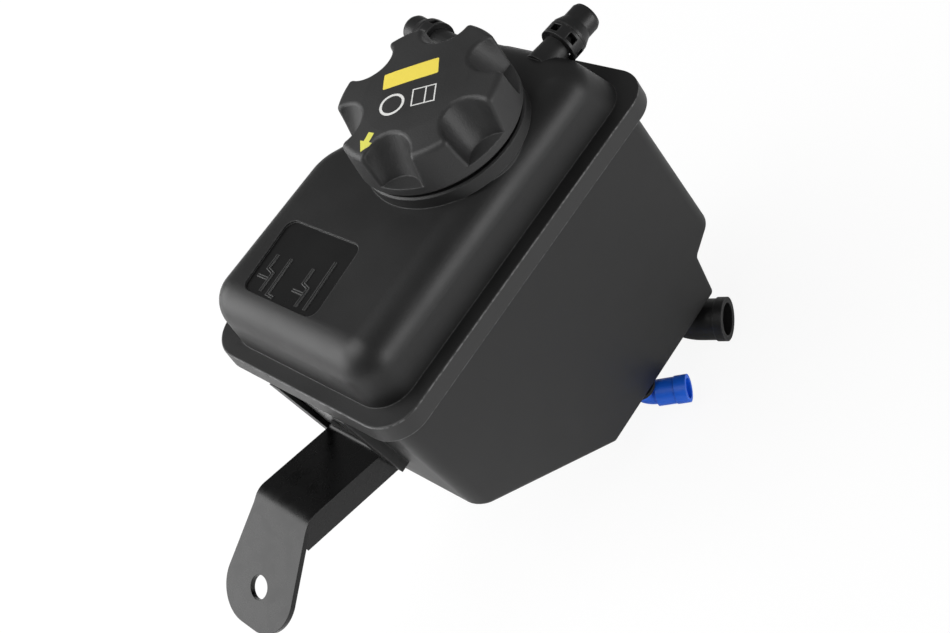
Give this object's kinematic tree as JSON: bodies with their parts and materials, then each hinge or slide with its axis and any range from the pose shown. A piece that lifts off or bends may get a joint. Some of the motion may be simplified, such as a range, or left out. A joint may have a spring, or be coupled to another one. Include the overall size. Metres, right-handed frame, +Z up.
{
  "type": "coolant expansion tank",
  "caption": "Black two-shell plastic coolant expansion tank with a scalloped screw cap, capped hose nipples, blue hose connector, outlet pipe and a steel bracket.",
  "frame": {"origin": "middle of the bolt hole in the end of the bracket, halfway through the steel", "axes": "+Z up out of the filler neck, +Y from the bracket towards the back of the tank, +X to the side of the two hose outlets"},
  "size_m": [0.1336, 0.2949, 0.2414],
  "materials": {
    "shell_plastic": "moulded black plastic with a fine satin grain",
    "cap_plastic": "moulded black plastic, satin",
    "nipple_plastic": "moulded black plastic, satin",
    "bracket_steel": "black dipped coating, low satin sheen",
    "connector_plastic": "moulded blue plastic, satin",
    "seal_rubber": "black rubber",
    "valve_plastic": "grey moulded plastic",
    "valve_brass": "turned brass",
    "spring_steel": "drawn steel wire",
    "float_plastic": "natural moulded plastic"
  },
  "bodies": {
    "tank": {"upper_shell": "shell_plastic", "lower_shell": "shell_plastic", "mounting_bracket": "bracket_steel", "right_nipple_cap": "nipple_plastic", "left_nipple_cap": "nipple_plastic", "right_clip_ring": "nipple_plastic", "left_clip_ring": "nipple_plastic", "right_nipple_seal": "seal_rubber", "left_nipple_seal": "seal_rubber", "hose_connector": "connector_plastic", "connector_seal": "seal_rubber", "float_cage": "float_plastic"},
    "cartridge": {"valve_housing": "valve_plastic", "upper_o_ring": "seal_rubber", "lower_o_ring": "seal_rubber", "spring_retainer": "valve_plastic", "pressure_spring": "spring_steel"},
    "cap": {"cap_knob": "cap_plastic", "cap_screw_plug": "cap_plastic"},
    "pressure_valve": {"pressure_valve_plate": "valve_plastic", "pressure_valve_seal": "seal_rubber", "vacuum_spring": "spring_steel"},
    "vacuum_valve": {"vacuum_valve": "valve_brass"},
    "float": {"level_float": "float_plastic", "float_rod": "float_plastic"}
  },
  "joints": [
    {"name": "cap_lift", "type": "slide", "parent": "tank", "child": "cartridge", "axis": [0, 0, 1], "range_m": [0, 0.009]},
    {"name": "cap_turn", "type": "hinge", "parent": "cartridge", "child": "cap", "pos_m": [0.0133, 0.1942, 0.1], "axis": [0, 0, 1], "range_deg": [0, 720]},
    {"name": "pressure_valve_slide", "type": "slide", "parent": "cartridge", "child": "pressure_valve", "axis": [0, 0, 1], "range_m": [0, 0.003], "stiffness_N_per_m": 4000, "springref_m": -0.006, "deforming": ["pressure_spring"]},
    {"name": "vacuum_valve_slide", "type": "slide", "parent": "pressure_valve", "child": "vacuum_valve", "axis": [0, 0, -1], "range_m": [0, 0.0015], "stiffness_N_per_m": 100, "springref_m": -0.003, "deforming": ["vacuum_spring"]},
    {"name": "float_slide", "type": "slide", "parent": "tank", "child": "float", "axis": [0, 0, 1], "range_m": [0, 0.038]}
  ],
  "couplings": [
    {"joint": "cap_turn", "follows": "cap_lift", "rad_per_m": 1396.2}
  ]
}
